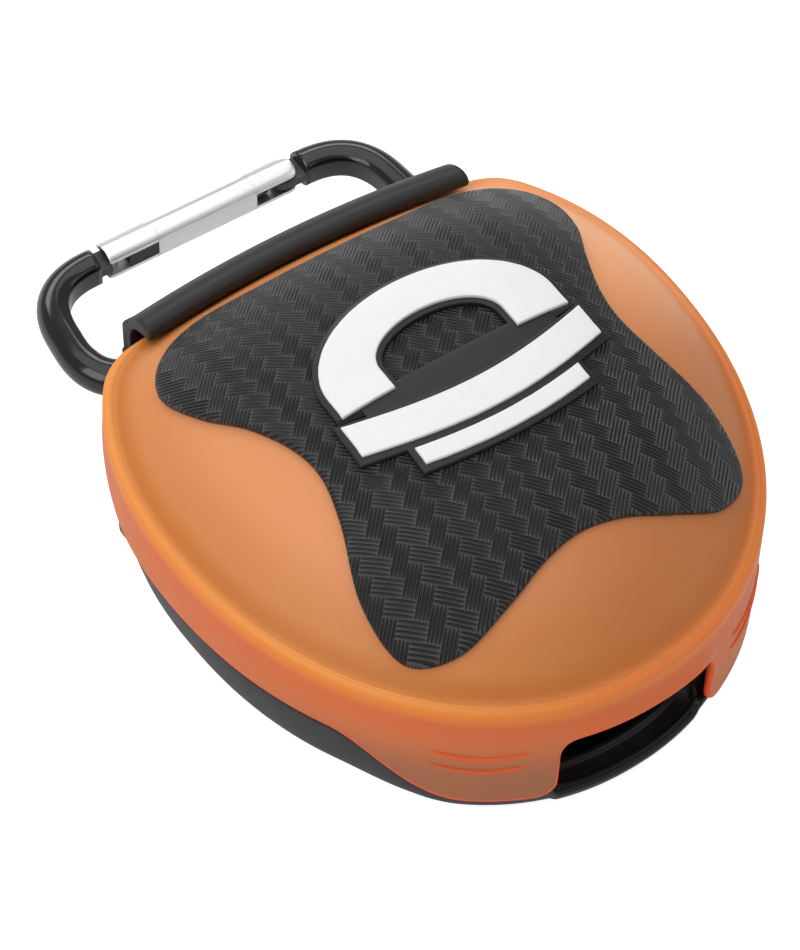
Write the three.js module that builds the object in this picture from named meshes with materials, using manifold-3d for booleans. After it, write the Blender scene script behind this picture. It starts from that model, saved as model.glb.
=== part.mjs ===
// Mouthguard in its carry case: a bowl-shaped base, a domed clam-shell lid on a pinned rear hinge,
// a soft grip pad on the lid, a snap-gate carabiner through a lug on the base, and the mouthguard.
// Millimetres, +Z up. The origin is under the widest section, on the flat underside of the base.
// +Y points to the hinge, -Y to the front opening.
import * as THREE from "three";
import { mergeVertices } from "three/addons/utils/BufferGeometryUtils.js";
import Module from "manifold-3d";

const wasm = await Module();
wasm.setup();

// ---- driving dimensions -------------------------------------------------------------------------
const HALF_WIDTH = 42; // of the egg-shaped plan outline, before its small egg factor
const FRONT_Y = -52;
const TAIL_Y = 42; // where the egg would end if its rear were not cut off
const EGG = 0.078; // how much fuller the rear of the egg is than its front
const FULLNESS = 2.15; // 2 is a plain ellipse, more is squarer
const REAR_Y = 32; // rear edge of the lid at mid width
const REAR_SAG = 2; // how far the rear edge falls forward at its ends
const REAR_HALF = 27;
const CORNER = 3.5; // rounding of the two rear corners
const SEGMENTS = 72; // points in each ring round the case

const RIM_Z = 26.7; // where the dome of the lid meets its skirt
const CROWN = 15.2; // height of the dome above the rim
const DOME_POWER = 3.5; // 2 is a plain bowl, more is flatter on top and steeper at the rim
const DOME_POWER_REAR = 2.6; // the same at the hinge, where the dome must slide under the rail
const DOME_Y = -2.7; // the top of the dome lies a little in front of the origin
const LID_WALL = 1.7;
const FLARE = 0.6; // how far the skirt leans out at its lower edge
const SKIRT_SIDE_Z = 16.2; // lower edge of the skirt along the sides
const SKIRT_TAB_Z = 5.6; // lower edge of the two front tabs
const SKIRT_REAR_Z = 20.2; // lower edge of the skirt at the hinge

const OPENING_HALF = 12.4;
const OPENING_TOP = 20;
const OPENING_CORNER = 4.5;

const BASE_RIM_Z = 19;
const BASE_WALL = 1.6;
const FLOOR_Z = 2;
const SILL_Z = 4.8; // top of the base's wall in the front opening

const HINGE_Y = 33.8;
const HINGE_Z = 18;
const BARREL_R = 1.8;
const PIN_R = 0.8;
const PIN_HOLE_R = 0.9;
const BARREL_X = [12, 22.1]; // each base knuckle, as distances from the middle plane
const INNER_KNUCKLE_X = [8.2, 11.7];
const OUTER_KNUCKLE_X = [22.4, 26.2];
const PIN_X = [8.6, 25.8];
const RAIL_HALF = 26.5;

const CLIP_Z = 9; // middle plane of the carabiner
const SPINE_Y = 36.5; // the straight rod that passes through the lug
const GATE_Y = 57.4;
const CLIP_HALF_SPINE = 29.6;
const CLIP_HALF_GATE = 27.6;
const ROD_R = 2.75;
const FRAME_END_X = 17.9;
const GATE_R = 2.7;
const GATE_FLAT = 1.9; // distance from the gate's axis to its flat inner face
const PIVOT_X = 14.8;
const LATCH_X = -15;
const RIVET_R = 0.7;
const TONGUE_THICK = 1.4;
const TONGUE_R = 2.1;
const SLOT_THICK = 2;
const BORE_R = 1.4;
const LUG_HALF = 6;
const LUG_R = 5.4;
const LUG_HOLE_R = 3.35;

const REST_GAP = 0.3; // between a piece and the piece it lies on
const PAD_THICK = 1.2;
const BADGE_THICK = 0.5;
const INLAY_THICK = 0.6;

const GUARD_HALF = 28.5;
const GUARD_FRONT = -32;
const GUARD_REAR = 12;
const GUARD_BAND = 11;

// ---- small helpers ------------------------------------------------------------------------------
const smoothstep = (from, to, value) => THREE.MathUtils.smoothstep(value, from, to);

function toSolid(geometry) {
  const bare = new THREE.BufferGeometry();
  bare.setAttribute("position", geometry.attributes.position.clone());
  if (geometry.index) bare.setIndex(geometry.index.clone());
  const merged = mergeVertices(bare, 1e-4);
  return new wasm.Manifold(new wasm.Mesh({
    numProp: 3,
    vertProperties: new Float32Array(merged.attributes.position.array),
    triVerts: new Uint32Array(merged.index.array),
  }));
}

function toGeometry(solid) {
  const mesh = solid.getMesh();
  const geometry = new THREE.BufferGeometry();
  geometry.setAttribute("position", new THREE.BufferAttribute(mesh.vertProperties, 3));
  geometry.setIndex(new THREE.BufferAttribute(mesh.triVerts, 1));
  geometry.computeVertexNormals();
  return geometry;
}

function makeMesh(name, geometry, colour, roughness, metalness = 0) {
  const material = new THREE.MeshStandardMaterial({ color: colour, roughness, metalness });
  const mesh = new THREE.Mesh(geometry, material);
  mesh.name = name;
  return mesh;
}

// A box between two corners.
function box(x0, x1, y0, y1, z0, z1) {
  const geometry = new THREE.BoxGeometry(x1 - x0, y1 - y0, z1 - z0);
  geometry.translate((x0 + x1) / 2, (y0 + y1) / 2, (z0 + z1) / 2);
  return toSolid(geometry);
}

// A cylinder along X between x0 and x1.
function cylinderX(radius, x0, x1, y, z, sides = 20) {
  const geometry = new THREE.CylinderGeometry(radius, radius, x1 - x0, sides);
  geometry.rotateZ(Math.PI / 2);
  geometry.translate((x0 + x1) / 2, y, z);
  return toSolid(geometry);
}

// A cylinder along Z between z0 and z1.
function cylinderZ(radius, x, y, z0, z1, sides = 20) {
  const geometry = new THREE.CylinderGeometry(radius, radius, z1 - z0, sides);
  geometry.rotateX(Math.PI / 2);
  geometry.translate(x, y, (z0 + z1) / 2);
  return toSolid(geometry);
}

// A plan outline pushed up from z0 to z1.
function prismZ(points, z0, z1) {
  const shape = new THREE.Shape(points);
  const geometry = new THREE.ExtrudeGeometry(shape, { depth: z1 - z0, bevelEnabled: false });
  geometry.translate(0, 0, z0);
  return toSolid(geometry);
}

// A profile of [y, z] pairs pushed along X; bend(x) shifts it in Y.
function prismX(profile, x0, x1, steps = 1, bend = () => 0) {
  const shape = new THREE.Shape(profile.map(([y, z]) => new THREE.Vector2(y, z)));
  const geometry = new THREE.ExtrudeGeometry(shape, { depth: x1 - x0, steps, bevelEnabled: false });
  const position = geometry.attributes.position;
  for (let i = 0; i < position.count; i += 1) {
    const x = x0 + position.getZ(i);
    position.setXYZ(i, x, position.getX(i) + bend(x), position.getY(i));
  }
  return toSolid(geometry);
}

// ---- plan outline and rings ---------------------------------------------------------------------
// The smaller of two heights, rounded where they cross.
function softMin(a, b, radius) {
  const blend = Math.max(radius - Math.abs(a - b), 0) / radius;
  return Math.min(a, b) - (blend * blend * radius) / 4;
}

const rearEdge = (x) => REAR_Y - REAR_SAG * (x / REAR_HALF) ** 2;

// One point of the case outline at the angle t, pulled in by separate side, front and rear amounts.
function outlinePoint(t, side, front, rear, corner) {
  const halfLength = (TAIL_Y - rear - FRONT_Y - front) / 2;
  const middle = (TAIL_Y - rear + FRONT_Y + front) / 2;
  const full = (value) => Math.sign(value) * Math.abs(value) ** (2 / FULLNESS);
  const x = (HALF_WIDTH - side) * full(Math.cos(t)) * (1 + EGG * full(Math.sin(t)));
  const y = middle + halfLength * full(Math.sin(t));
  return [x, y > middle ? softMin(y, rearEdge(x) - rear, corner) : y];
}

// A closed ring at the height z, which may be a function of the ring's x and y.
function ring({ side = 0, front = side, rear = side, shrink = 1, corner = CORNER, z }) {
  return Array.from({ length: SEGMENTS }, (_, i) => {
    const [x0, y0] = outlinePoint((i / SEGMENTS) * 2 * Math.PI, side, front, rear, corner);
    const x = x0 * shrink;
    const y = DOME_Y + (y0 - DOME_Y) * shrink;
    return new THREE.Vector3(x, y, typeof z === "function" ? z(x, y) : z);
  });
}

// A closed skin from a pole on top, through the rings, to a pole underneath.
function skin(firstPole, rings, lastPole) {
  const points = [firstPole, ...rings.flat(), lastPole];
  const faces = [];
  const at = (level, i) => 1 + level * SEGMENTS + (i % SEGMENTS);
  for (let i = 0; i < SEGMENTS; i += 1) faces.push(0, at(0, i), at(0, i + 1));
  for (let level = 0; level + 1 < rings.length; level += 1) {
    for (let i = 0; i < SEGMENTS; i += 1) {
      faces.push(at(level, i), at(level + 1, i), at(level + 1, i + 1));
      faces.push(at(level, i), at(level + 1, i + 1), at(level, i + 1));
    }
  }
  const last = rings.length - 1;
  for (let i = 0; i < SEGMENTS; i += 1) faces.push(at(last, i), points.length - 1, at(last, i + 1));
  const geometry = new THREE.BufferGeometry();
  geometry.setFromPoints(points);
  geometry.setIndex(faces);
  return toSolid(geometry);
}

// ---- lid ----------------------------------------------------------------------------------------
const DOME_STEPS = [0.2, 0.38, 0.52, 0.64, 0.74, 0.82, 0.89, 0.95];

// Height of the dome where a ring of this shrink passes y.
function domeHeight(shrink, y) {
  const power = THREE.MathUtils.lerp(DOME_POWER, DOME_POWER_REAR, smoothstep(0, REAR_Y, y));
  return RIM_Z + CROWN * (1 - shrink ** power);
}

// The dome's rings, raised by lift and pulled in by inset. Inner rings have rounder rear corners.
function domeRings(lift, inset = 0) {
  return DOME_STEPS.map((shrink) => ring({
    side: inset,
    shrink,
    corner: CORNER + 30 * (1 - shrink),
    z: (x, y) => domeHeight(shrink, y) + lift,
  }));
}

// Lower edge of the skirt: high at the hinge, level along the sides, deep at the front tabs.
function skirtEdge(x, y) {
  const towardsTabs = smoothstep(30, 44.5, -y);
  const towardsHinge = smoothstep(8, 26, y);
  return SKIRT_SIDE_Z + (SKIRT_TAB_Z - SKIRT_SIDE_Z) * towardsTabs
    + (SKIRT_REAR_Z - SKIRT_SIDE_Z) * towardsHinge;
}

function lidShell() {
  const rings = [
    ...domeRings(0),
    ring({ side: 0.9, z: RIM_Z + 0.3 }),
    ring({ side: 0.25, z: RIM_Z - 0.8 }),
    ring({ side: 0, z: RIM_Z - 2.2 }),
    ring({ side: -FLARE, rear: 0, z: skirtEdge }),
    ring({ side: LID_WALL - FLARE, rear: LID_WALL, z: skirtEdge }),
    ring({ side: LID_WALL, z: RIM_Z - 3.5 }),
    ring({ side: LID_WALL + 0.8, z: RIM_Z - 1.6 }),
    ...domeRings(-LID_WALL, LID_WALL).reverse(),
  ];
  const top = new THREE.Vector3(0, DOME_Y, RIM_Z + CROWN);
  const under = new THREE.Vector3(0, DOME_Y, RIM_Z + CROWN - LID_WALL);
  return skin(top, rings, under).subtract(frontOpening());
}

// The round-cornered mouth between the two tabs, cut through the front wall.
function frontOpening() {
  const arch = new THREE.Shape();
  arch.moveTo(-OPENING_HALF, -1);
  arch.lineTo(OPENING_HALF, -1);
  arch.lineTo(OPENING_HALF, OPENING_TOP - OPENING_CORNER);
  arch.absarc(OPENING_HALF - OPENING_CORNER, OPENING_TOP - OPENING_CORNER, OPENING_CORNER, 0, Math.PI / 2);
  const cornerY = OPENING_TOP - OPENING_CORNER;
  arch.absarc(OPENING_CORNER - OPENING_HALF, cornerY, OPENING_CORNER, Math.PI / 2, Math.PI);
  const geometry = new THREE.ExtrudeGeometry(arch, { depth: 14, bevelEnabled: false, curveSegments: 6 });
  geometry.rotateX(Math.PI / 2);
  geometry.translate(0, FRONT_Y + 13, 0);
  return toSolid(geometry);
}

// A dome-shaped layer between two heights above the lid, used to drape the flat outlines over it.
function domeLayer(low, high) {
  const solidUnder = (lift) => skin(
    new THREE.Vector3(0, DOME_Y, RIM_Z + CROWN + lift),
    [...domeRings(lift), ring({ shrink: DOME_STEPS.at(-1), z: 0 })],
    new THREE.Vector3(0, DOME_Y, 0),
  );
  return solidUnder(high).subtract(solidUnder(low));
}

function drape(outline, low, thickness) {
  return domeLayer(low, low + thickness).intersect(prismZ(outline, 0, RIM_Z + CROWN + 10));
}

// ---- grip pad and badge -------------------------------------------------------------------------
// Right half of the pad's outline, from the front notch round to the middle of the rear edge.
const PAD_HALF = [
  [0, -34.9], [6, -35.7], [13, -37.6], [20.8, -38.4], [26.8, -34.8], [27.8, -26.5], [25, -17.4],
  [23.7, -11], [24.3, -5.5], [26.8, 1], [30.2, 7.6], [31.6, 15], [28.4, 20.6], [21.4, 23.2], [10, 22.6],
];

function mirrored(half) {
  const inner = half.filter(([x]) => x > 0);
  const left = inner.map(([x, y]) => [-x, y]).reverse();
  return [...half, ...left];
}

function smoothLoop(pairs, count) {
  const corners = pairs.map(([x, y]) => new THREE.Vector3(x, y, 0));
  const curve = new THREE.CatmullRomCurve3(corners, true, "centripetal");
  return curve.getPoints(count).slice(0, count).map((p) => new THREE.Vector2(p.x, p.y));
}

const padOutline = () => smoothLoop(mirrored(PAD_HALF), 84);

// A horseshoe arch, grown by border, that stands for the mouthguard itself.
function archOutline(border) {
  const outerX = 17.5 + border;
  const outerY = 11 + border;
  const innerX = 9.6 - border;
  const innerY = 5.4 - border;
  const heel = -3.5 - border;
  const steps = 18;
  const arc = (rx, ry, from, to) => Array.from({ length: steps + 1 }, (_, i) => {
    const t = from + ((to - from) * i) / steps;
    return new THREE.Vector2(rx * Math.cos(t), ry * Math.sin(t) - 3.2);
  });
  const outer = arc(outerX, outerY, 0, Math.PI);
  const inner = arc(innerX, innerY, Math.PI, 0);
  const foot = (x) => new THREE.Vector2(x, heel - 3.2 + border);
  return [...outer, foot(-outerX), foot(-innerX), ...inner, foot(innerX), foot(outerX)];
}

// A bar bent along an arc, so that it reads as an arched label under the horseshoe.
function arcBarOutline(halfWidth, midY, height, border = 0) {
  const bow = 0.0095 * halfWidth * halfWidth; // the same bend for every width
  const steps = 14;
  const edge = (offset) => Array.from({ length: steps + 1 }, (_, i) => {
    const u = -1 + (2 * i) / steps;
    return new THREE.Vector2(u * (halfWidth + border), midY + offset + bow * u * u);
  });
  return [...edge(-height / 2 - border), ...edge(height / 2 + border).reverse()];
}

const UPPER_BAR = [18.4, -13.4, 5];
const LOWER_BAR = [12.6, -18.4, 2.6];

function badgeBar(bar) {
  return toGeometry(drape(arcBarOutline(...bar), INLAY_LOW, INLAY_THICK));
}

function badgePlate() {
  const low = REST_GAP + PAD_THICK + REST_GAP;
  const layer = domeLayer(low, low + BADGE_THICK);
  const height = RIM_Z + CROWN + 10;
  const outlines = [archOutline(0.9), arcBarOutline(...UPPER_BAR, 0.9), arcBarOutline(...LOWER_BAR, 0.9)];
  const plan = outlines.map((outline) => prismZ(outline, 0, height));
  const tie = box(-15, 15, -11, -5.5, 0, height);
  return layer.intersect(plan.reduce((sum, next) => sum.add(next), tie));
}

const INLAY_LOW = REST_GAP * 3 + PAD_THICK + BADGE_THICK;

// ---- base ---------------------------------------------------------------------------------------
function baseShell() {
  // heights as a share of the ledge that runs just under the lid's skirt
  const ledge = (x, y) => Math.min(skirtEdge(x, y) - 0.4, BASE_RIM_Z - 0.3);
  const under = (share) => (x, y) => share * ledge(x, y);
  const outer = skin(
    new THREE.Vector3(0, DOME_Y, BASE_RIM_Z),
    [
      ring({ side: 2.5, z: BASE_RIM_Z }),
      ring({ side: 2.5, z: under(1) }),
      ring({ side: 0.4, front: 0.2, rear: 2.5, z: under(0.97) }),
      ring({ side: 0.7, front: 0.3, rear: 2.6, z: under(0.75) }),
      ring({ side: 1.6, front: 1, rear: 3, z: under(0.45) }),
      ring({ side: 3.4, front: 2.4, rear: 4.2, z: under(0.2) }),
      ring({ side: 6, front: 4.4, rear: 6, z: under(0.05) }),
      ring({ side: 8.5, front: 7, rear: 8.5, z: 0 }),
    ],
    new THREE.Vector3(0, DOME_Y, 0),
  );
  const cavity = skin(
    new THREE.Vector3(0, DOME_Y, BASE_RIM_Z + 1),
    [
      ring({ side: 2.5 + BASE_WALL, z: BASE_RIM_Z + 1 }),
      ring({ side: 2.5 + BASE_WALL, rear: 4.2, z: 12 }),
      ring({ side: 4.4, front: 4.1, rear: 4.6, z: 8 }),
      ring({ side: 5.8, front: 4.8, rear: 6, z: 3.6 }),
      ring({ side: 8.5, front: 6.5, rear: 8.5, z: FLOOR_Z }),
    ],
    new THREE.Vector3(0, DOME_Y, FLOOR_Z),
  );
  const gusset = [
    [25, 9.5], [29.4, 9.5], [HINGE_Y, HINGE_Z - BARREL_R], [HINGE_Y, HINGE_Z], [32, 17.4], [25, 17.4],
  ];
  let solid = outer;
  for (const hand of [-1, 1]) {
    const [x0, x1] = BARREL_X.map((x) => x * hand).sort((a, b) => a - b);
    solid = solid.add(prismX(gusset, x0, x1)).add(cylinderX(BARREL_R, x0, x1, HINGE_Y, HINGE_Z));
    solid = solid.subtract(cylinderX(PIN_HOLE_R, x0 - 1, x1 + 1, HINGE_Y, HINGE_Z, 16));
  }
  solid = solid.add(box(-LUG_HALF, LUG_HALF, 24, SPINE_Y, CLIP_Z - LUG_R, CLIP_Z + LUG_R));
  solid = solid.add(cylinderX(LUG_R, -LUG_HALF, LUG_HALF, SPINE_Y, CLIP_Z, 28));
  solid = solid.subtract(cylinderX(LUG_HOLE_R, -LUG_HALF - 1, LUG_HALF + 1, SPINE_Y, CLIP_Z, 28));
  return solid.subtract(cavity).subtract(baseMouth());
}

// The low sill of the front opening, curving up behind the lid's tabs.
function baseMouth() {
  const shape = new THREE.Shape();
  const top = BASE_RIM_Z + 2;
  shape.moveTo(-9.5, SILL_Z);
  shape.lineTo(9.5, SILL_Z);
  shape.quadraticCurveTo(14.2, SILL_Z, 14.2, SILL_Z + 6);
  shape.lineTo(15.5, top);
  shape.lineTo(-15.5, top);
  shape.lineTo(-14.2, SILL_Z + 6);
  shape.quadraticCurveTo(-14.2, SILL_Z, -9.5, SILL_Z);
  const geometry = new THREE.ExtrudeGeometry(shape, { depth: 16, bevelEnabled: false, curveSegments: 6 });
  geometry.rotateX(Math.PI / 2);
  geometry.translate(0, FRONT_Y + 15, 0);
  return toSolid(geometry);
}

// ---- hinge --------------------------------------------------------------------------------------
// The rail hooks over the rear edge of the lid and carries the lid's knuckles.
function hingeRail() {
  const hook = [
    [29.3, 30.1], [28.8, 31], [31.2, 30.5], [33.5, 29.3], [35, 27.4], [35.6, 25.2], [35.6, 20.4],
    [34.4, 20.4], [34.4, 24.8], [33.9, 26.6], [32.9, 27.8], [31.9, 28.5], [30.6, 29.2],
  ];
  const bend = (x) => rearEdge(x) - REAR_Y;
  let solid = prismX(hook, -RAIL_HALF, RAIL_HALF, 16, bend);
  const leg = [[32.75, 18], [35, 18], [35, 25.8], [33.4, 26.9], [32.75, 26.9]];
  for (const hand of [-1, 1]) {
    for (const range of [INNER_KNUCKLE_X, OUTER_KNUCKLE_X]) {
      const [x0, x1] = range.map((x) => x * hand).sort((a, b) => a - b);
      const shift = Math.max(bend(x0), bend(x1)) * (range === OUTER_KNUCKLE_X ? 0.9 : 0.2);
      const shifted = leg.map(([y, z]) => [z > 20 ? y + shift : y, z]);
      solid = solid.add(prismX(shifted, x0, x1)).add(cylinderX(BARREL_R, x0, x1, HINGE_Y, HINGE_Z));
      solid = solid.subtract(cylinderX(PIN_HOLE_R, x0 - 0.1, x1 + 0.1, HINGE_Y, HINGE_Z, 16));
    }
  }
  return solid;
}

function hingePin(hand) {
  const [x0, x1] = PIN_X.map((x) => x * hand).sort((a, b) => a - b);
  return cylinderX(PIN_R, x0, x1, HINGE_Y, HINGE_Z, 16);
}

// ---- carabiner ----------------------------------------------------------------------------------
// The frame's centre line: from one gate end, round the spine, to the other gate end.
// The carabiner's centre line: straight sides that lean in from the spine to the gate, round elbows.
function clipPath() {
  const gateElbow = 9;
  const spineElbow = 9.5;
  const lean = (CLIP_HALF_SPINE - CLIP_HALF_GATE) / (GATE_Y - SPINE_Y);
  const side = (hand, y) => new THREE.Vector3(hand * (CLIP_HALF_SPINE - lean * (y - SPINE_Y)), y, CLIP_Z);
  const along = (hand, x, y) => new THREE.Vector3(hand * x, y, CLIP_Z);
  const half = (hand) => [
    along(hand, FRAME_END_X, GATE_Y),
    along(hand, CLIP_HALF_GATE - gateElbow, GATE_Y),
    side(hand, GATE_Y),
    side(hand, GATE_Y - gateElbow),
    side(hand, SPINE_Y + spineElbow),
    side(hand, SPINE_Y),
    along(hand, CLIP_HALF_SPINE - spineElbow, SPINE_Y),
  ];
  const points = [...half(-1), ...half(1).reverse()];
  const path = new THREE.CurvePath();
  const line = (i) => path.add(new THREE.LineCurve3(points[i], points[i + 1]));
  const bend = (i) => path.add(new THREE.QuadraticBezierCurve3(points[i], points[i + 1], points[i + 2]));
  line(0);
  bend(1);
  line(3);
  bend(4);
  line(6);
  bend(7);
  line(9);
  bend(10);
  line(12);
  return path;
}

function clipFrame() {
  const section = new THREE.Shape();
  section.absarc(0, 0, ROD_R, 0, 2 * Math.PI);
  const sweep = { steps: 56, extrudePath: clipPath(), curveSegments: 7 };
  let solid = toSolid(new THREE.ExtrudeGeometry(section, sweep));
  const half = TONGUE_THICK / 2;
  // pivot tongue: a round-ended plate that the gate turns round
  solid = solid.add(box(
    PIVOT_X, FRAME_END_X + 1, GATE_Y - TONGUE_R, GATE_Y + TONGUE_R, CLIP_Z - half, CLIP_Z + half));
  solid = solid.add(cylinderZ(TONGUE_R, PIVOT_X, GATE_Y, CLIP_Z - half, CLIP_Z + half));
  solid = solid.subtract(cylinderZ(RIVET_R + 0.1, PIVOT_X, GATE_Y, CLIP_Z - 2, CLIP_Z + 2, 16));
  // latch tongue: a plate with a notch on its inner side that catches the gate's pin
  const tip = LATCH_X + 1.5;
  solid = solid.add(box(-FRAME_END_X - 1, tip, GATE_Y - 1.9, GATE_Y + 1.9, CLIP_Z - half, CLIP_Z + half));
  return solid.subtract(box(LATCH_X - 1, LATCH_X + 1, GATE_Y - 3, GATE_Y + 1, CLIP_Z - 2, CLIP_Z + 2));
}

function clipGate() {
  const left = -FRAME_END_X + 0.4;
  const big = 2 * GATE_R;
  const slot = SLOT_THICK / 2;
  let solid = cylinderX(GATE_R, left, PIVOT_X + GATE_R, GATE_Y, CLIP_Z, 24);
  solid = solid.subtract(box(
    left - 1, PIVOT_X + big, GATE_Y - big, GATE_Y - GATE_FLAT, CLIP_Z - big, CLIP_Z + big));
  // the pivot end is round in plan, so that it turns clear of the frame's end
  const square = box(PIVOT_X, PIVOT_X + big, GATE_Y - big, GATE_Y + big, CLIP_Z - big, CLIP_Z + big);
  const keep = cylinderZ(GATE_R, PIVOT_X, GATE_Y, CLIP_Z - big, CLIP_Z + big, 28);
  solid = solid.subtract(square.subtract(keep));
  for (const [x0, x1] of [[PIVOT_X - TONGUE_R - 0.4, PIVOT_X + big], [left - 1, LATCH_X + 2.1]]) {
    solid = solid.subtract(box(x0, x1, GATE_Y - big, GATE_Y + big, CLIP_Z - slot, CLIP_Z + slot));
  }
  solid = solid.subtract(cylinderX(BORE_R, 2.5, PIVOT_X - TONGUE_R, GATE_Y, CLIP_Z, 16));
  for (const x of [PIVOT_X, LATCH_X]) {
    solid = solid.subtract(cylinderZ(RIVET_R + 0.02, x, GATE_Y, CLIP_Z - big, CLIP_Z + big, 16));
  }
  return solid;
}

function crossPin(x) {
  const reach = GATE_R - 0.15;
  return cylinderZ(RIVET_R - 0.03, x, GATE_Y, CLIP_Z - reach, CLIP_Z + reach, 16);
}

// A blunt pin that the spring pushes against the pivot tongue.
function gatePlunger() {
  const nose = PIVOT_X - TONGUE_R - 0.45;
  const steps = [[0, 0], [1.15, 0], [1.15, 1.5], [0.8, 2.1], [0, 2.3]];
  const profile = steps.map(([r, h]) => new THREE.Vector2(r, h));
  const geometry = new THREE.LatheGeometry(profile, 16);
  geometry.rotateZ(-Math.PI / 2);
  geometry.translate(nose - 2.3, GATE_Y, CLIP_Z);
  return toSolid(geometry);
}

function gateSpring() {
  const from = 3;
  const length = 5.6;
  const turns = 5;
  const radius = 0.95;
  class Helix extends THREE.Curve {
    getPoint(t, target = new THREE.Vector3()) {
      const angle = t * turns * 2 * Math.PI;
      const y = GATE_Y + radius * Math.cos(angle);
      return target.set(from + length * t, y, CLIP_Z + radius * Math.sin(angle));
    }
  }
  const wire = new THREE.Shape();
  wire.absarc(0, 0, 0.2, 0, 2 * Math.PI);
  const options = { steps: turns * 9, extrudePath: new Helix(), curveSegments: 3 };
  return toSolid(new THREE.ExtrudeGeometry(wire, options));
}

// ---- mouthguard ---------------------------------------------------------------------------------
// A plan band that follows the dental arch, between two distances in from its outer edge.
function archBand(from, to, z0, z1) {
  const steps = 26;
  const shoulder = GUARD_REAR - 22; // where the arch's straight legs begin
  const edge = (inset) => {
    const half = GUARD_HALF - inset;
    const reach = shoulder - GUARD_FRONT - inset;
    const curve = Array.from({ length: steps + 1 }, (_, i) => {
      const t = Math.PI + (Math.PI * i) / steps;
      return new THREE.Vector2(half * Math.cos(t), shoulder + reach * Math.sin(t));
    });
    const heels = [-half - 0.4, half + 0.4].map((x) => new THREE.Vector2(x, GUARD_REAR));
    return [heels[0], ...curve, heels[1]];
  };
  return prismZ([...edge(from), ...edge(to).reverse()], z0, z1);
}

const GUARD_BOTTOM = FLOOR_Z + REST_GAP;

function guardFrame() {
  const wing = archBand(0, 2.4, GUARD_BOTTOM, GUARD_BOTTOM + 17);
  const inside = archBand(GUARD_BAND - 2.2, GUARD_BAND, GUARD_BOTTOM, GUARD_BOTTOM + 12);
  return archBand(0, GUARD_BAND, GUARD_BOTTOM, GUARD_BOTTOM + 3.2).add(wing).add(inside);
}

function guardLiner() {
  const low = GUARD_BOTTOM + 3.2 + REST_GAP;
  const wing = archBand(2.7, 4.2, low, GUARD_BOTTOM + 15.5);
  const inside = archBand(GUARD_BAND - 3.9, GUARD_BAND - 2.5, low, GUARD_BOTTOM + 10.5);
  return archBand(2.7, GUARD_BAND - 2.5, low, low + 1.6).add(wing).add(inside);
}

// ---- assembly -----------------------------------------------------------------------------------
const BLACK_PLASTIC = 0x17181a;
const ORANGE = 0xdf6a2c;
const RUBBER = 0x2b2c2e;
const WHITE = 0xe8e8e8;
const ANODISED = 0x111214;
const ALUMINIUM = 0xc9cbcd;
const STEEL = 0x9a9ca0;

const lidGroup = new THREE.Group();
lidGroup.add(
  makeMesh("lid_shell", toGeometry(lidShell()), ORANGE, 0.5),
  makeMesh("lid_grip_pad", toGeometry(drape(padOutline(), REST_GAP, PAD_THICK)), RUBBER, 0.6),
  makeMesh("badge_plate", toGeometry(badgePlate()), BLACK_PLASTIC, 0.4),
  makeMesh("badge_arch", toGeometry(drape(archOutline(0), INLAY_LOW, INLAY_THICK)), WHITE, 0.45),
  makeMesh("badge_upper_bar", badgeBar(UPPER_BAR), WHITE, 0.45),
  makeMesh("badge_lower_bar", badgeBar(LOWER_BAR), WHITE, 0.45),
  makeMesh("hinge_rail", toGeometry(hingeRail()), BLACK_PLASTIC, 0.5),
);

const clipGroup = new THREE.Group();
clipGroup.add(
  makeMesh("carabiner_frame", toGeometry(clipFrame()), ANODISED, 0.2, 0.6),
  makeMesh("carabiner_gate", toGeometry(clipGate()), ALUMINIUM, 0.35, 1),
  makeMesh("gate_pivot_rivet", toGeometry(crossPin(PIVOT_X)), STEEL, 0.3, 1),
  makeMesh("gate_latch_pin", toGeometry(crossPin(LATCH_X)), STEEL, 0.3, 1),
  makeMesh("gate_plunger", toGeometry(gatePlunger()), STEEL, 0.3, 1),
  makeMesh("gate_spring", toGeometry(gateSpring()), STEEL, 0.3, 1),
);

const guardGroup = new THREE.Group();
guardGroup.add(
  makeMesh("mouthguard_frame", toGeometry(guardFrame()), 0x1b1c1f, 0.5),
  makeMesh("mouthguard_liner", toGeometry(guardLiner()), 0x3a2a22, 0.5),
);

const mouthguardCase = new THREE.Group();
mouthguardCase.add(
  makeMesh("base_shell", toGeometry(baseShell()), BLACK_PLASTIC, 0.45),
  makeMesh("hinge_pin_left", toGeometry(hingePin(-1)), STEEL, 0.3, 1),
  makeMesh("hinge_pin_right", toGeometry(hingePin(1)), STEEL, 0.3, 1),
  lidGroup,
  clipGroup,
  guardGroup,
);

export default mouthguardCase;
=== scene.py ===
"""Looks of the mouthguard case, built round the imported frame.

Shapes are worked out in millimetres and scaled to metres when a mesh is made. The frame is the CAD
part's: the case stands on z = 0, the hinge is towards +Y and the front opening towards -Y.
"""

import math

import bmesh
import bpy
import numpy as np
from mathutils import Matrix, Vector
from mathutils.bvhtree import BVHTree


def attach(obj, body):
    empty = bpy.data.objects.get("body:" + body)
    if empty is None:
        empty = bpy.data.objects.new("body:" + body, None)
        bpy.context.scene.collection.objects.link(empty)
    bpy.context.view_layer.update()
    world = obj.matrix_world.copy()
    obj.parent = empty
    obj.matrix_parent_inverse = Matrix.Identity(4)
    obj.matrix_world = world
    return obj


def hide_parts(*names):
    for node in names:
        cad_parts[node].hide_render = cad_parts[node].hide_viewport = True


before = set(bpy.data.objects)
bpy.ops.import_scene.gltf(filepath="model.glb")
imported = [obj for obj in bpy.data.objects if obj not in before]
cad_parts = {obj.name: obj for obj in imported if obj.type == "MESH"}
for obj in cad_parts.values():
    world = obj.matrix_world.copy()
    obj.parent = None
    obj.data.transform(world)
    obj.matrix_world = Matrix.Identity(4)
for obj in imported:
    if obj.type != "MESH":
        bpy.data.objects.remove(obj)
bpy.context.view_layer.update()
MM = 0.001

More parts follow.
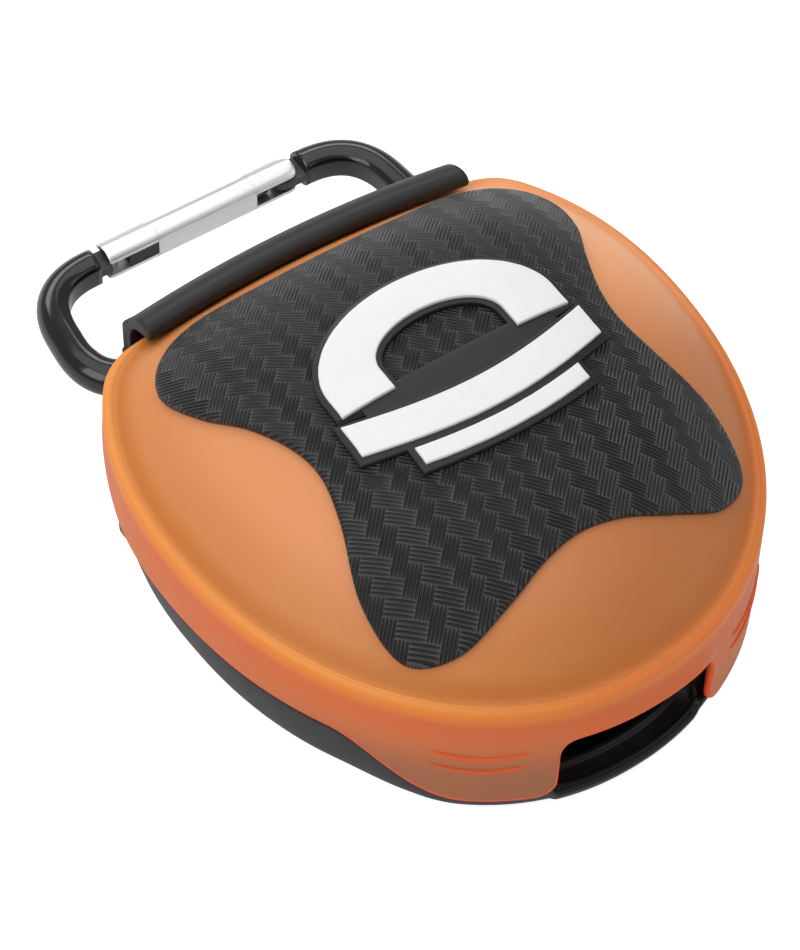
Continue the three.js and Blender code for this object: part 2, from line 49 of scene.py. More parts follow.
# ---- the case's shape, as the CAD part has it, in millimetres ----
HALF_WIDTH = 42.0
FRONT_Y = -52.0
TAIL_Y = 42.0
EGG = 0.078
FULLNESS = 2.15
REAR_Y = 32.0
REAR_SAG = 2.0
REAR_HALF = 27.0
CORNER = 3.5
RIM_Z = 26.7
CROWN = 15.2
DOME_Y = -2.7
DOME_POWER = 3.5
DOME_POWER_REAR = 2.6
LID_WALL = 1.7
SKIRT_SIDE_Z = 16.2
SKIRT_REAR_Z = 20.2
OPENING_HALF = 12.4
OPENING_TOP = 20.0
OPENING_CORNER = 4.5
BASE_RIM_Z = 19.0
BASE_WALL = 1.6
FLOOR_Z = 2.0
SILL_Z = 4.8
HINGE = (33.8, 18.0)  # y and z
PIN_HOLE_R = 0.9
BARREL_R = 1.8
BASE_KNUCKLE = (12.0, 22.1)  # ends, counted from the middle plane
RAIL_KNUCKLES = ((8.2, 11.7), (22.4, 26.2))
RAIL_HALF = 26.5
CLIP_Z = 9.0
SPINE_Y = 36.5
GATE_Y = 57.4
CLIP_HALF_SPINE = 29.6
CLIP_HALF_GATE = 27.6
ROD_R = 2.75
FRAME_END_X = 17.9
GATE_R = 2.7
GATE_FLAT = 1.9
TONGUE_HALF = 0.7
TONGUE_R = 2.1
PIVOT_X = 14.8
LATCH_X = -15.0
LUG_HALF = 6.0
LUG_R = 5.4
LUG_HOLE_R = 3.35
PAD_THICK = 1.2
UPPER_BAR = (18.4, -13.4, 5.0)  # half width, middle and height
LOWER_BAR = (12.6, -18.4, 2.6)

# ---- finer shape that only the looks have, or have a little different ----
SKIRT_TAB_Z = 6.6
FLARE = 0.45
RIM_RADIUS = 1.0  # fillet between the skirt and the channel inside the rim
FOOT = 0.955  # share of the outline where the dome rises out of the channel
EDGE_ROUND = 0.45  # rounding of the lid's moulded edges
TAB_CORNER = 3.0  # rounding at the foot of each front tab
THIN = 0.6  # how much thinner the lid's wall is at the opening
BROW = 0.8  # how far the wall swells out over the front opening
FRONT_FLARE = 0.35  # further lean of the two front tabs
BEAD = 0.28  # height of the soft bead between the channel and the rim
BEAD_AT = 0.978  # share of the outline where the bead is highest
BEAD_WIDTH = 0.009
PAD_ROUND = 0.8
PLATE_LOW = 1.0  # heights of the badge above the dome
PLATE_TOP = 1.95
INLAY_TOP = 2.45
LIP = 0.5  # how far the two lips of the base's top edge stand above the channel between them
RAIL_ROUND = 0.5  # rounding of the rail's ends
ROD_FLAT = 2.1  # from the rod's centre line to its flattened inner face
QUARTER = np.radians([0, 18, 36, 54, 72, 90])  # turns along a rounded edge


def smoothstep(low, high, value):
    x = np.clip((value - low) / (high - low), 0, 1)
    return x * x * (3 - 2 * x)


def lerp(a, b, share):
    return a + (b - a) * share


def full(value):
    return np.sign(value) * np.abs(value) ** (2 / FULLNESS)


def soft_min(a, b, radius):
    blend = np.maximum(radius - np.abs(a - b), 0) / radius
    return np.minimum(a, b) - blend * blend * radius / 4


def stack(x, y, z):
    """Points from their coordinates, any of which may be a single number."""
    return np.stack(np.broadcast_arrays(x, y, z), -1)


def circle(count):
    """Angles spread evenly round a circle."""
    return np.linspace(0, 2 * math.pi, count, endpoint=False)


def bend(start, corner, end, steps):
    """Points of a curve that leaves its start, and reaches its end, in line with the corner."""
    s = np.linspace(0, 1, steps)[:, None]
    a, b, c = (np.array(point) for point in (start, corner, end))
    return (1 - s) ** 2 * a + 2 * s * (1 - s) * b + s * s * c


def rear_edge(x):
    return REAR_Y - REAR_SAG * (x / REAR_HALF) ** 2


def outline(t, side=0.0, front=None, rear=None, corner=CORNER):
    """Points of the case outline at the angles t, pulled in by the given amounts."""
    front = side if front is None else front
    rear = side if rear is None else rear
    half_length = (TAIL_Y - rear - FRONT_Y - front) / 2
    middle = (TAIL_Y - rear + FRONT_Y + front) / 2
    x = (HALF_WIDTH - side) * full(np.cos(t)) * (1 + EGG * full(np.sin(t)))
    y = middle + half_length * full(np.sin(t))
    return x, np.where(y > middle, soft_min(y, rear_edge(x) - rear, corner), y)


def skirt_edge(x, y):
    """Lower edge of the skirt without the front opening."""
    to_tabs = smoothstep(30, 44.5, -y)
    to_hinge = smoothstep(8, 26, y)
    drop = (SKIRT_TAB_Z - SKIRT_SIDE_Z) * to_tabs
    return SKIRT_SIDE_Z + drop + (SKIRT_REAR_Z - SKIRT_SIDE_Z) * to_hinge


# Length round the outline, counted from the middle of the front, against the angle t.
_TABLE_T = np.linspace(-math.pi / 2, math.pi / 2, 3000)
_TABLE_X, _TABLE_Y = outline(_TABLE_T)
_STEPS = np.hypot(np.diff(_TABLE_X), np.diff(_TABLE_Y))
_TABLE_U = np.concatenate([[0], np.cumsum(_STEPS)])
HALF_LOOP = _TABLE_U[-1]


def angle_at(u):
    """The outline angle at the signed length u from the middle of the front."""
    t = np.interp(np.abs(u), _TABLE_U, _TABLE_T)
    return np.where(u >= 0, t, -math.pi - t)


def plain_edge(u):
    """Height of the skirt's lower edge, without the opening, at the length u."""
    return skirt_edge(*outline(angle_at(u)))


# ---- mesh helpers ----
def new_object(name, data):
    made = bpy.data.objects.new(name, data)
    bpy.context.scene.collection.objects.link(made)
    return made


def make_piece(name, build, material, body, replaces=(), smooth=True, merge=True, values=None):
    """A mesh object from millimetre points, riding on a body. values holds a number for each point,
    under the name that the material reads it by."""
    mesh = bpy.data.meshes.new(name)
    mesh.from_pydata([tuple(p) for p in np.array(build.points) * MM], [], build.faces)
    for label, numbers in (values or {}).items():
        attribute = mesh.attributes.new(label, "FLOAT", "POINT")
        attribute.data.foreach_set("value", np.asarray(numbers, np.float32))
    tidy = bmesh.new()
    tidy.from_mesh(mesh)
    if merge:
        bmesh.ops.remove_doubles(tidy, verts=tidy.verts, dist=1e-7)
    bmesh.ops.recalc_face_normals(tidy, faces=tidy.faces)
    tidy.to_mesh(mesh)
    tidy.free()
    mesh.polygons.foreach_set("use_smooth", [smooth] * len(mesh.polygons))
    mesh.materials.append(material)
    piece = new_object(name, mesh)
    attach(piece, body)
    if replaces:
        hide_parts(*replaces)
    return piece


def grid_faces(rows, columns, wrap_columns=False, wrap_rows=False, start=0):
    """Quads over a grid of points that are stored row by row."""
    faces = []
    for r in range(rows if wrap_rows else rows - 1):
        for c in range(columns if wrap_columns else columns - 1):
            a = start + r * columns + c
            b = start + r * columns + (c + 1) % columns
            below = start + ((r + 1) % rows) * columns
            faces.append((a, b, below + (c + 1) % columns, below + c))
    return faces


class Build:
    """Collects grids and caps into one mesh."""

    def __init__(self):
        self.points = []
        self.faces = []

    def add_grid(self, grid, wrap_columns=False, wrap_rows=False):
        """Adds a (rows, columns, 3) array of points; returns the index of its first point."""
        rows, columns, _ = grid.shape
        start = len(self.points)
        self.points.extend(grid.reshape(-1, 3))
        self.faces.extend(grid_faces(rows, columns, wrap_columns, wrap_rows, start))
        return start

    def add_pole(self, point, ring_start, count):
        """Closes a ring of points with a fan to one point."""
        pole = len(self.points)
        self.points.append(np.array(point, float))
        for c in range(count):
            self.faces.append((ring_start + c, ring_start + (c + 1) % count, pole))

    def add_skin(self, rings, *poles):
        """Adds a skin through rings of points; each pole closes one end of it with a fan."""
        count = len(rings[0])
        start = self.add_grid(np.array(rings), wrap_columns=True)
        for pole, first in zip(poles, (start, start + (len(rings) - 1) * count)):
            self.add_pole(pole, first, count)

    def add_tube(self, rings):
        """Adds a tube through rings of points, closed at both ends."""
        count = len(rings[0])
        start = self.add_grid(np.array(rings), wrap_columns=True)
        for first in (start, start + (len(rings) - 1) * count):
            self.faces.append(tuple(range(first, first + count)))


def turned_edge(wall, u, z, out_u, out_z, radius, outer, inner, turns):
    """Rows that turn a wall's edge over, from the depth of its outer face to that of its inner one."""
    rows = []
    for face, sign, angles in ((outer, 1, turns), (inner, -1, (90, 60, 30, 0))):
        for turn in np.radians(angles):
            reach = radius * math.sin(turn)
            depth = face + sign * radius * (1 - math.cos(turn))
            rows.append(wall(u + reach * out_u, z + reach * out_z, depth))
    return rows


# ---- material helpers ----
class Shader:
    """Makes a node material, one line a node."""

    def __init__(self, name):
        self.material = bpy.data.materials.new(name)
        self.material.use_nodes = True
        self.tree = self.material.node_tree
        self.tree.nodes.clear()
        output = self.node("ShaderNodeOutputMaterial")
        self.surface = self.node("ShaderNodeBsdfPrincipled")
        self.put(output.inputs["Surface"], self.surface.outputs[0])
        coordinates = self.node("ShaderNodeTexCoord").outputs["Object"]
        scaled = {"Vector": coordinates, "Scale": 1 / MM}
        self.place = self.node("ShaderNodeVectorMath", scaled, operation="SCALE").outputs[0]  # in mm

    def node(self, kind, inputs=None, **settings):
        """A new node with the given settings, its inputs filled by name."""
        made = self.tree.nodes.new(kind)
        for key, value in settings.items():
            setattr(made, key, value)
        for key, value in (inputs or {}).items():
            self.put(made.inputs[key], value)
        return made

    def put(self, socket, value):
        if isinstance(value, bpy.types.NodeSocket):
            self.tree.links.new(value, socket)
        elif value is not None:
            socket.default_value = value

    def math(self, operation, a, b=None):
        made = self.node("ShaderNodeMath", operation=operation)
        self.put(made.inputs[0], a)
        self.put(made.inputs[1], b)
        return made.outputs[0]

    def times(self, a, b):
        return self.math("MULTIPLY", a, b)

    def axes(self):
        return self.node("ShaderNodeSeparateXYZ", {"Vector": self.place}).outputs

    def pointiness(self):
        return self.node("ShaderNodeNewGeometry").outputs["Pointiness"]

    def noise(self, scale, detail=2.0, roughness=0.5, stretch=None):
        """Noise whose features are about 1 / scale millimetres across."""
        place = self.place
        if stretch:
            place = self.node("ShaderNodeMapping", {"Vector": place, "Scale": stretch}).outputs[0]
        inputs = {"Vector": place, "Scale": scale, "Detail": detail, "Roughness": roughness}
        return self.node("ShaderNodeTexNoise", inputs).outputs["Fac"]

    def remap(self, value, low, high, to_low=0.0, to_high=1.0, smooth=False):
        kind = "SMOOTHSTEP" if smooth else "LINEAR"
        made = self.node("ShaderNodeMapRange", interpolation_type=kind)
        for socket, given in zip(made.inputs, (value, low, high, to_low, to_high)):
            self.put(socket, given)
        return made.outputs[0]

    def mix(self, share, first, second, kind="RGBA"):
        inputs = {"Factor": share, "A": first, "B": second}
        return self.node("ShaderNodeMix", inputs, data_type=kind).outputs["Result"]

    def ramp(self, value, low, high, stops):
        """A colour ramp whose stops are (position between low and high, colour)."""
        made = self.node("ShaderNodeValToRGB")
        ramp = made.color_ramp
        ramp.interpolation = "EASE"
        while len(ramp.elements) < len(stops):
            ramp.elements.new(0.5)
        for element, (position, shade) in zip(ramp.elements, stops):
            element.position = (position - low) / (high - low)
            element.color = shade
        self.put(made.inputs[0], self.remap(value, low, high))
        return made.outputs["Color"]

    def attribute(self, name):
        return self.node("ShaderNodeAttribute", attribute_name=name).outputs["Fac"]

    def bump(self, height, distance, strength=1.0, before=None):
        """A bump from a height of 0 to 1, worth distance millimetres."""
        inputs = {"Height": height, "Distance": distance * MM, "Strength": strength, "Normal": before}
        return self.node("ShaderNodeBump", inputs).outputs[0]

    def set(self, **inputs):
        """Sets inputs of the surface; spaces in their names are written as underscores."""
        for key, value in inputs.items():
            self.put(self.surface.inputs[key.replace("_", " ")], value)
        return self.material


def colour(red, green, blue):
    return (red, green, blue, 1.0)


def grey(value):
    return colour(value, value, value)


# ---- materials ----
def frosted_orange():
    """Frosted translucent lid: a painted highlight along the rim, a painted glow on the edges, painted
    shade in the channel, and painted shade in brown over the right front.
    """
    s = Shader("frosted_orange")
    band = s.attribute("band")
    # Colour across the rim's profile: a painted highlight from -1 to 0.4, painted shade in the channel at
    # 2.2.
    tint_and_painted_light = s.ramp(band, -22.0, 14.0, [
        (-20.0, colour(0.62, 0.16, 0.04)),
        (-9.0, colour(0.70, 0.165, 0.04)),
        (-3.2, colour(0.74, 0.14, 0.024)),
        (-1.0, colour(0.85, 0.24, 0.02)),
        (0.4, colour(0.86, 0.33, 0.07)),
        (2.2, colour(0.60, 0.19, 0.03)),
        (4.6, colour(0.69, 0.25, 0.075)),
        (12.0, colour(0.79, 0.31, 0.125)),
    ])
    x, y, z = s.axes()
    # Painted shade: browner over the right front of the dome, and a deeper red there near the rim.
    toward_right_front = s.math("SUBTRACT", s.times(x, 0.75), s.times(y, 0.66))
    right_front_shade = s.remap(toward_right_front, 2.0, 36.0, 0.0, 0.75, smooth=True)
    cloud = s.noise(0.045, detail=1.0)
    right_front_shade = s.times(right_front_shade, s.remap(cloud, 0.3, 0.7, 0.8, 1.0))
    rim_share = s.remap(band, -1.0, 3.0, smooth=True)
    inner = s.mix(s.times(right_front_shade, rim_share), tint_and_painted_light, colour(0.48, 0.145, 0.03))
    near_rim = s.remap(s.math("ABSOLUTE", band), 0.0, 3.0, 1.0, 0.0)
    tint_and_painted_light = s.mix(s.times(near_rim, right_front_shade), inner, colour(0.76, 0.17, 0.03))
    rearward = s.remap(y, -22.0, 8.0, smooth=True)
    lit = s.times(s.remap(x, 8.0, 30.0), rearward)
    tint_and_painted_light = s.mix(s.times(lit, rim_share), tint_and_painted_light, colour(1.0, 0.44, 0.2))
    # Painted shade: darker low on the left front tab.
    low = s.remap(z, 21.0, 11.0, 0.0, 0.85, smooth=True)
    low = s.times(low, s.remap(x, 6.0, -6.0))
    forward = s.remap(y, -14.0, -32.0, smooth=True)
    tint_and_painted_light = s.mix(s.times(low, forward), tint_and_painted_light, colour(0.36, 0.13, 0.055))
    # Painted glow: bright red along the lid's cut edge and on the grip ribs.
    tint_and_painted_light = s.mix(s.attribute("painted_glow"), tint_and_painted_light, colour(0.95, 0.09, 0.012))
    speck = s.noise(6.0, detail=3.0)
    tint_and_painted_light = s.mix(s.remap(speck, 0.35, 0.65, 0.0, 0.06), tint_and_painted_light, colour(0.9, 0.5, 0.3))
    frost = s.bump(s.noise(9.0, detail=2.0), 0.012, 0.35)
    rough = s.remap(s.noise(0.5, detail=3.0), 0.3, 0.7, 0.44, 0.52)
    s.set(Base_Color=tint_and_painted_light, Roughness=rough, Normal=frost, IOR=1.5, Specular_IOR_Level=0.32)
    return s.set(
        Subsurface_Weight=0.3, Subsurface_Radius=(1.0, 0.35, 0.12), Subsurface_Scale=2.0 * MM)


def satin_black(name, shade, roughness, grain=14.0):
    """Moulded black plastic with a spark-eroded grain, scuffed a little where it is handled."""
    s = Shader(name)
    scuff = s.remap(s.noise(0.35, detail=6.0, roughness=0.7), 0.5, 0.72)
    edge = s.remap(s.pointiness(), 0.52, 0.6, 0.0, 0.35)
    base = s.mix(s.times(scuff, 0.25), grey(shade), grey(shade * 1.7))
    base = s.mix(edge, base, grey(shade * 2.6))
    rough = s.math("ADD", roughness, s.times(scuff, 0.08))
    grained = s.bump(s.noise(grain, detail=2.0), 0.015, 0.5)
    return s.set(Base_Color=base, Roughness=rough, Normal=grained, IOR=1.5, Specular_IOR_Level=0.4)


def twill_rubber():
    """Soft rubber moulded as a 2/2 twill, its bundles running along both diagonals. A bundle is four
    scooped flutes with thin ridges between them, and it spans two cells before it dips under."""
    s = Shader("twill_rubber")
    bundle = 2.0  # width
    flutes = 4.0
    repeat = 4.0  # cells
    x, y, _ = s.axes()
    along_a = s.math("DIVIDE", s.math("ADD", x, y), bundle * math.sqrt(2))
    along_b = s.math("DIVIDE", s.math("SUBTRACT", y, x), bundle * math.sqrt(2))
    cell_a = s.math("FLOOR", along_a)
    cell_b = s.math("FLOOR", along_b)
    phase = s.math("FLOORED_MODULO", s.math("SUBTRACT", cell_a, cell_b), repeat)
    is_a = s.math("LESS_THAN", phase, 1.5)

    def pick(if_a, if_b):
        return s.mix(is_a, if_b, if_a, "FLOAT")

    across = pick(along_b, along_a)
    flute = s.math("ABSOLUTE", s.math("SINE", s.times(across, math.pi * flutes)))
    run_a = s.math("FLOORED_MODULO", s.math("SUBTRACT", along_a, cell_b), repeat)
    run_b = s.math("FLOORED_MODULO", s.math("SUBTRACT", along_b, cell_a), repeat)
    run = s.math("DIVIDE", pick(run_a, s.math("SUBTRACT", run_b, 1.0)), 2.0)
    ends = s.math("SINE", s.times(run, math.pi))
    ends = s.math("POWER", s.math("MAXIMUM", ends, 0.001), 0.3)
    depth = s.times(flute, ends)
    scooped = s.bump(s.math("SUBTRACT", 1.0, depth), 0.2, 1.0)
    grain = s.bump(s.noise(12.0, detail=2.0), 0.01, 0.35, scooped)
    # Painted highlight on the ridges and the bundle ends, painted shade down in the flutes.
    ridge_highlight = s.remap(depth, 0.6, 0.12, smooth=True)
    shade = s.mix(ridge_highlight, grey(0.004), colour(0.068, 0.068, 0.07))
    worn = s.remap(s.noise(0.12, detail=4.0), 0.35, 0.75)
    shade = s.mix(s.times(worn, 0.1), shade, colour(0.04, 0.04, 0.042))
    family = pick(0.0, 0.05)
    rough = s.math("ADD", s.remap(worn, 0.0, 1.0, 0.30, 0.38), family)
    return s.set(Base_Color=shade, Roughness=rough, Normal=grain, IOR=1.5, Specular_IOR_Level=0.33)


def white_inlay():
    """Glossy white plastic, a little dusty."""
    s = Shader("white_inlay")
    dust = s.remap(s.noise(0.4, detail=5.0, roughness=0.65), 0.45, 0.75, 0.0, 0.12)
    base = s.mix(dust, grey(0.86), colour(0.66, 0.65, 0.63))
    fine = s.bump(s.noise(8.0), 0.008, 0.3)
    return s.set(Base_Color=base, Roughness=0.38, Normal=fine, IOR=1.46)


def gloss_anodised():
    """Black anodised rod under a clear polish, with faint draw lines, lighter along its sharpest edges.
    """
    s = Shader("gloss_anodised")
    swirl = s.noise(0.9, detail=5.0, roughness=0.6)
    sharp_edges = s.remap(s.pointiness(), 0.53, 0.6, 0.0, 0.25)
    base = s.mix(sharp_edges, colour(0.008, 0.008, 0.009), colour(0.09, 0.09, 0.095))
    rough = s.remap(swirl, 0.3, 0.7, 0.12, 0.2)
    waves = s.bump(s.noise(2.2, detail=2.0), 0.01, 0.25)
    s.set(Base_Color=base, Metallic=0.1, Roughness=rough, Normal=waves, Specular_IOR_Level=0.5)
    return s.set(Coat_Weight=0.3, Coat_Roughness=0.08)


def satin_metal(name, shade, roughness, stretch):
    """Metal with a brushed grain along one direction."""
    s = Shader(name)
    lines = s.noise(3.0, detail=4.0, roughness=0.6, stretch=stretch)
    base = s.mix(s.remap(lines, 0.3, 0.7), grey(shade * 0.88), grey(shade))
    rough = s.remap(lines, 0.3, 0.7, roughness, roughness + 0.08)
    brushed = s.bump(lines, 0.006, 0.2)
    return s.set(Base_Color=base, Metallic=1.0, Roughness=rough, Normal=brushed)


def guard_material(name, shade, roughness, glow):
    """Mottled rubber or gel; glow is how much light passes through it."""
    s = Shader(name)
    mottle = s.remap(s.noise(0.3, detail=4.0), 0.35, 0.7, 0.0, 0.4)
    base = s.mix(mottle, colour(*shade), colour(*[v * 1.6 for v in shade]))
    skin = s.bump(s.noise(3.0, detail=3.0), 0.02, 0.4)
    s.set(Base_Color=base, Roughness=roughness, Normal=skin, IOR=1.45)
    return s.set(Subsurface_Weight=glow, Subsurface_Radius=(1.0, 0.5, 0.4), Subsurface_Scale=1.5 * MM)


def pale_floor():
    """A floor that the camera sees as lit paper, so that the case stands on plain white."""
    s = Shader("pale_floor")
    tone = s.remap(s.noise(0.01, detail=3.0), 0.3, 0.7)
    base = s.mix(tone, grey(0.88), grey(0.92))
    seen = s.node("ShaderNodeLightPath").outputs["Is Camera Ray"]
    s.set(Emission_Color=grey(1), Emission_Strength=s.times(seen, 0.75))
    return s.set(Base_Color=base, Roughness=0.8)


ORANGE = frosted_orange()
BASE_BLACK = satin_black("base_black", 0.008, 0.42)
RAIL_BLACK = satin_black("rail_black", 0.010, 0.44, grain=18.0)
PLATE_BLACK = satin_black("plate_black", 0.012, 0.34)
TONGUE_GREY = satin_black("tongue_grey", 0.055, 0.5)
TWILL = twill_rubber()
WHITE = white_inlay()
ANODISED = gloss_anodised()
ALUMINIUM = satin_metal("satin_aluminium", 0.88, 0.28, (0.06, 1.0, 1.0))
STEEL = satin_metal("bright_steel", 0.55, 0.25, (1.0, 1.0, 0.2))
DARK_STEEL = satin_metal("dark_steel", 0.03, 0.3, (1.0, 1.0, 0.2))
GUARD_SHELL = guard_material("guard_shell", (0.010, 0.007, 0.004), 0.6, 0.0)
GUARD_GEL = guard_material("guard_gel", (0.05, 0.018, 0.010), 0.35, 0.3)
FLOOR = pale_floor()


# ---- lid ----
def dome_ring(t, shrink, inset=0.0):
    """x and y of the outline shrunk about the top of the dome; inner rings are rounder."""
    x, y = outline(t, inset, corner=CORNER + 30 * (1 - shrink))
    return x * shrink, DOME_Y + (y - DOME_Y) * shrink


def dome_height(shrink, y):
    """Outer height of the lid: a flat channel and a soft bead at the rim, then the dome."""
    power = lerp(DOME_POWER, DOME_POWER_REAR, smoothstep(0, REAR_Y, y))
    rise = CROWN * (1 - (shrink / FOOT) ** power)
    hill = 0.5 * (rise + np.sqrt(rise * rise + 0.5))
    bead = BEAD * np.exp(-(((shrink - BEAD_AT) / BEAD_WIDTH) ** 2))
    return RIM_Z + hill + bead


def lid_edge():
    """The lower edge of the lid: for each column its length u and height z on the edge, the length
    where that column meets the rim, and the direction out of the material within the wall."""
    straight = OPENING_HALF - OPENING_CORNER
    arc = np.radians(np.linspace(90, 0, 12))[1:]
    foot = np.radians(np.linspace(180, 270, 9))
    outer = OPENING_HALF + TAB_CORNER
    fine_to = 34.0
    after = np.concatenate([
        np.arange(outer + 0.4, fine_to, 0.55), np.linspace(fine_to, HALF_LOOP, 118)])
    rise = OPENING_TOP - OPENING_CORNER
    lift = SKIRT_TAB_Z + TAB_CORNER
    u = np.concatenate([
        np.linspace(0, straight, 12),
        straight + OPENING_CORNER * np.cos(arc),
        np.full(14, OPENING_HALF),
        outer + TAB_CORNER * np.cos(foot),
        after,
    ])
    z = np.concatenate([
        np.full(12, OPENING_TOP),
        rise + OPENING_CORNER * np.sin(arc),
        np.linspace(rise, lift, 16)[1:-1],
        lift + TAB_CORNER * np.sin(foot),
        plain_edge(after),
    ])
    return mirror_edge(u, z, straight, 20.0)


def mirror_edge(u, z, spread_from, spread_to):
    """Closes a right-hand edge into a loop and fans its columns out between two lengths."""
    run = np.concatenate([[0], np.cumsum(np.hypot(np.diff(u), np.diff(z)))])
    first = int(np.searchsorted(u, spread_from - 1e-6))
    last = int(np.argmax(u > spread_to))
    far = u.copy()
    share = (run[first:last] - run[first]) / (run[last] - run[first])
    far[first:last] = lerp(u[first], u[last], share)
    du = np.gradient(u)
    dz = np.gradient(z)
    size = np.hypot(du, dz)
    out_u = dz / size
    out_z = -du / size
    out_u[0] = out_u[-1] = 0
    out_z[0] = out_z[-1] = -1

    def close(values, sign):
        return np.concatenate([values, sign * values[-2:0:-1]])

    return close(u, -1), close(z, 1), close(far, -1), close(out_u, -1), close(out_z, 1)


def lid_wall(u, z, depth):
    """A point of the lid's skirt, depth millimetres in from its outer face."""
    top = RIM_Z - RIM_RADIUS
    flare = FLARE + FRONT_FLARE * (1 - smoothstep(20, 48, np.abs(u)))
    lean = flare * np.clip((top - z) / (top - plain_edge(u)), 0, 1)
    over = (1 - smoothstep(8.0, 13.0, np.abs(u))) * np.exp(-(((z - OPENING_TOP) / 2.0) ** 2))
    inset = depth - lean - BROW * over
    return stack(*outline(angle_at(u), inset, rear=depth), z)


def dome_rows(t, levels, inset=0.0, drop=0.0):
    rows = []
    for shrink in levels:
        x, y = dome_ring(t, shrink, inset)
        rows.append(stack(x, y, dome_height(shrink, y) - drop))
    return rows


DOME_LEVELS = np.concatenate([np.linspace(0.03, 0.84, 34), np.linspace(0.85, 0.976, 24)])


def lid_rows():
    """The rows of the lid, from the top of the dome, over the rim, round the edge and back inside,
    and the span of rows that makes the edge."""
    u, z, far, out_u, out_z = lid_edge()
    t = angle_at(far)
    top = RIM_Z - RIM_RADIUS
    rows = dome_rows(t, DOME_LEVELS)
    for turn in np.radians([0, 20, 40, 60, 78, 90]):
        height = top + (RIM_RADIUS + 0.1) * math.cos(turn)
        rows.append(stack(*outline(t, RIM_RADIUS * (1 - math.sin(turn))), height))
    u_near = u - EDGE_ROUND * out_u
    z_near = z - EDGE_ROUND * out_z
    for share in np.concatenate([np.linspace(0, 0.95, 18)[1:], [0.975, 1.0]]):
        rows.append(lid_wall(lerp(far, u_near, share), lerp(top, z_near, share), 0.0))
    cut_start = len(rows) - 1
    wall = LID_WALL - THIN * (1 - smoothstep(13, 20, np.abs(u)))
    rows += turned_edge(
        lid_wall, u_near, z_near, out_u, out_z, EDGE_ROUND, 0.0, wall, (25, 50, 75, 90))
    cut_end = len(rows)
    inner_top = RIM_Z - 3.6  # the inner wall curves from here into the hollow of the dome
    for share in np.linspace(1, 0, 9)[1:]:
        depth = lerp(LID_WALL, wall, share)
        rows.append(lid_wall(lerp(far, u_near, share), lerp(inner_top, z_near, share), depth))
    rows.append(stack(*outline(t, LID_WALL + 0.7), RIM_Z - 2.1))
    rows.extend(dome_rows(t, DOME_LEVELS[-2::-3], LID_WALL, LID_WALL))
    return rows, slice(cut_start, cut_end)


def build_lid():
    """The lid as one skin, closed by a fan at the top of the dome on each side."""
    rows, cut_rows = lid_rows()
    top = RIM_Z + CROWN
    build = Build()
    build.add_skin(rows, (0, DOME_Y, top), (0, DOME_Y, top - LID_WALL))
    # band: how far each point lies inside the rim (above 0) or below it (below 0); the painted glow: 1 on
    # the edge
    band = np.array(rows)[:, :, 2] - RIM_Z
    band[:len(DOME_LEVELS)] = HALF_WIDTH * (1 - DOME_LEVELS)[:, None]
    painted_glow = np.zeros_like(band)
    painted_glow[cut_rows] = 1.0
    values = {"band": np.append(band, [HALF_WIDTH, HALF_WIDTH]), "painted_glow": np.append(painted_glow, [0, 0])}
    make_piece("lid_shell_looks", build, ORANGE, "lid", ("lid_shell",),
               merge=False, values=values)


def build_tab_ribs():
    """Two raised grip ribs on each front tab, thin, bowed and faded out at their ends."""
    centre, half = 23.2, 6.4
    rib, bow, root = 0.28, 0.9, 0.3  # half height, rise of the ends, depth sunk into the wall
    for hand, side in ((-1, "left"), (1, "right")):
        for number, height in enumerate((16.95, 14.05)):
            share = np.linspace(-1, 1, 41)
            size = np.sqrt(np.maximum(1 - share**6, 0.0)) + 0.02
            u = hand * (centre + half * share)
            z = height + bow * share**2
            rows = []
            for turn in np.radians(np.linspace(0, 180, 9)):
                rows.append(lid_wall(u, z + rib * size * math.cos(turn), -0.3 * size * math.sin(turn)))
            rows += [lid_wall(u, z - rib * size, root), lid_wall(u, z + rib * size, root)]
            build = Build()
            build.add_grid(np.array(rows), wrap_rows=True)
            count = len(build.points)
            # The ribs carry a painted glow, brighter than the tab around them.
            make_piece(f"tab_rib_{side}_{number + 1}", build, ORANGE, "lid",
                       values={"band": np.full(count, -3.0), "painted_glow": np.full(count, 0.65)})


# ---- pieces draped over the dome ----
class Dome:
    """The lid's outer surface, to lay other pieces on."""

    def __init__(self):
        t = np.linspace(-math.pi, math.pi, 360, endpoint=False)
        levels = np.concatenate([[0.002], DOME_LEVELS])
        grid = np.array(dome_rows(t, levels))
        faces = grid_faces(len(levels), 360, wrap_columns=True)
        self.tree = BVHTree.FromPolygons([tuple(p) for p in grid.reshape(-1, 3)], faces)

    def lay(self, x, y, lift):
        """Points lift millimetres out from the dome, along its own normal."""
        up = Vector((0, 0, 1))
        points = []
        for px, py, height in stack(x, y, lift).reshape(-1, 3):
            hit, normal, _, _ = self.tree.ray_cast(Vector((px, py, 80)), -up)
            if hit is None:
                hit, normal = Vector((px, py, RIM_Z)), up
            points.append(hit + (normal if normal.z > 0 else -normal) * height)
        return np.array(points).reshape(*np.shape(x), 3)


DOME = Dome()

# Right half of the pad's outline, from the front notch round to the middle of the rear edge.
PAD_HALF = [
    (0, -34.9), (6, -35.7), (13, -37.6), (20.8, -38.4), (26.8, -34.8), (27.8, -26.5), (25, -17.4),
    (23.7, -11), (24.3, -5.5), (26.8, 1), (30.2, 7.6), (31.6, 15), (28.4, 20.6), (21.4, 23.2),
    (10, 22.6),
]


def smooth_loop(points, per_span):
    """A closed Catmull-Rom curve through the points."""
    p = np.array(points, float)
    out = []
    for i in range(len(p)):
        a, b, c, d = (p[(i + k) % len(p)] for k in (-1, 0, 1, 2))
        for s in np.linspace(0, 1, per_span, endpoint=False):
            out.append(0.5 * (2 * b + (c - a) * s + (2 * a - 5 * b + 4 * c - d) * s * s
                              + (3 * b - a - 3 * c + d) * s**3))
    return np.array(out)


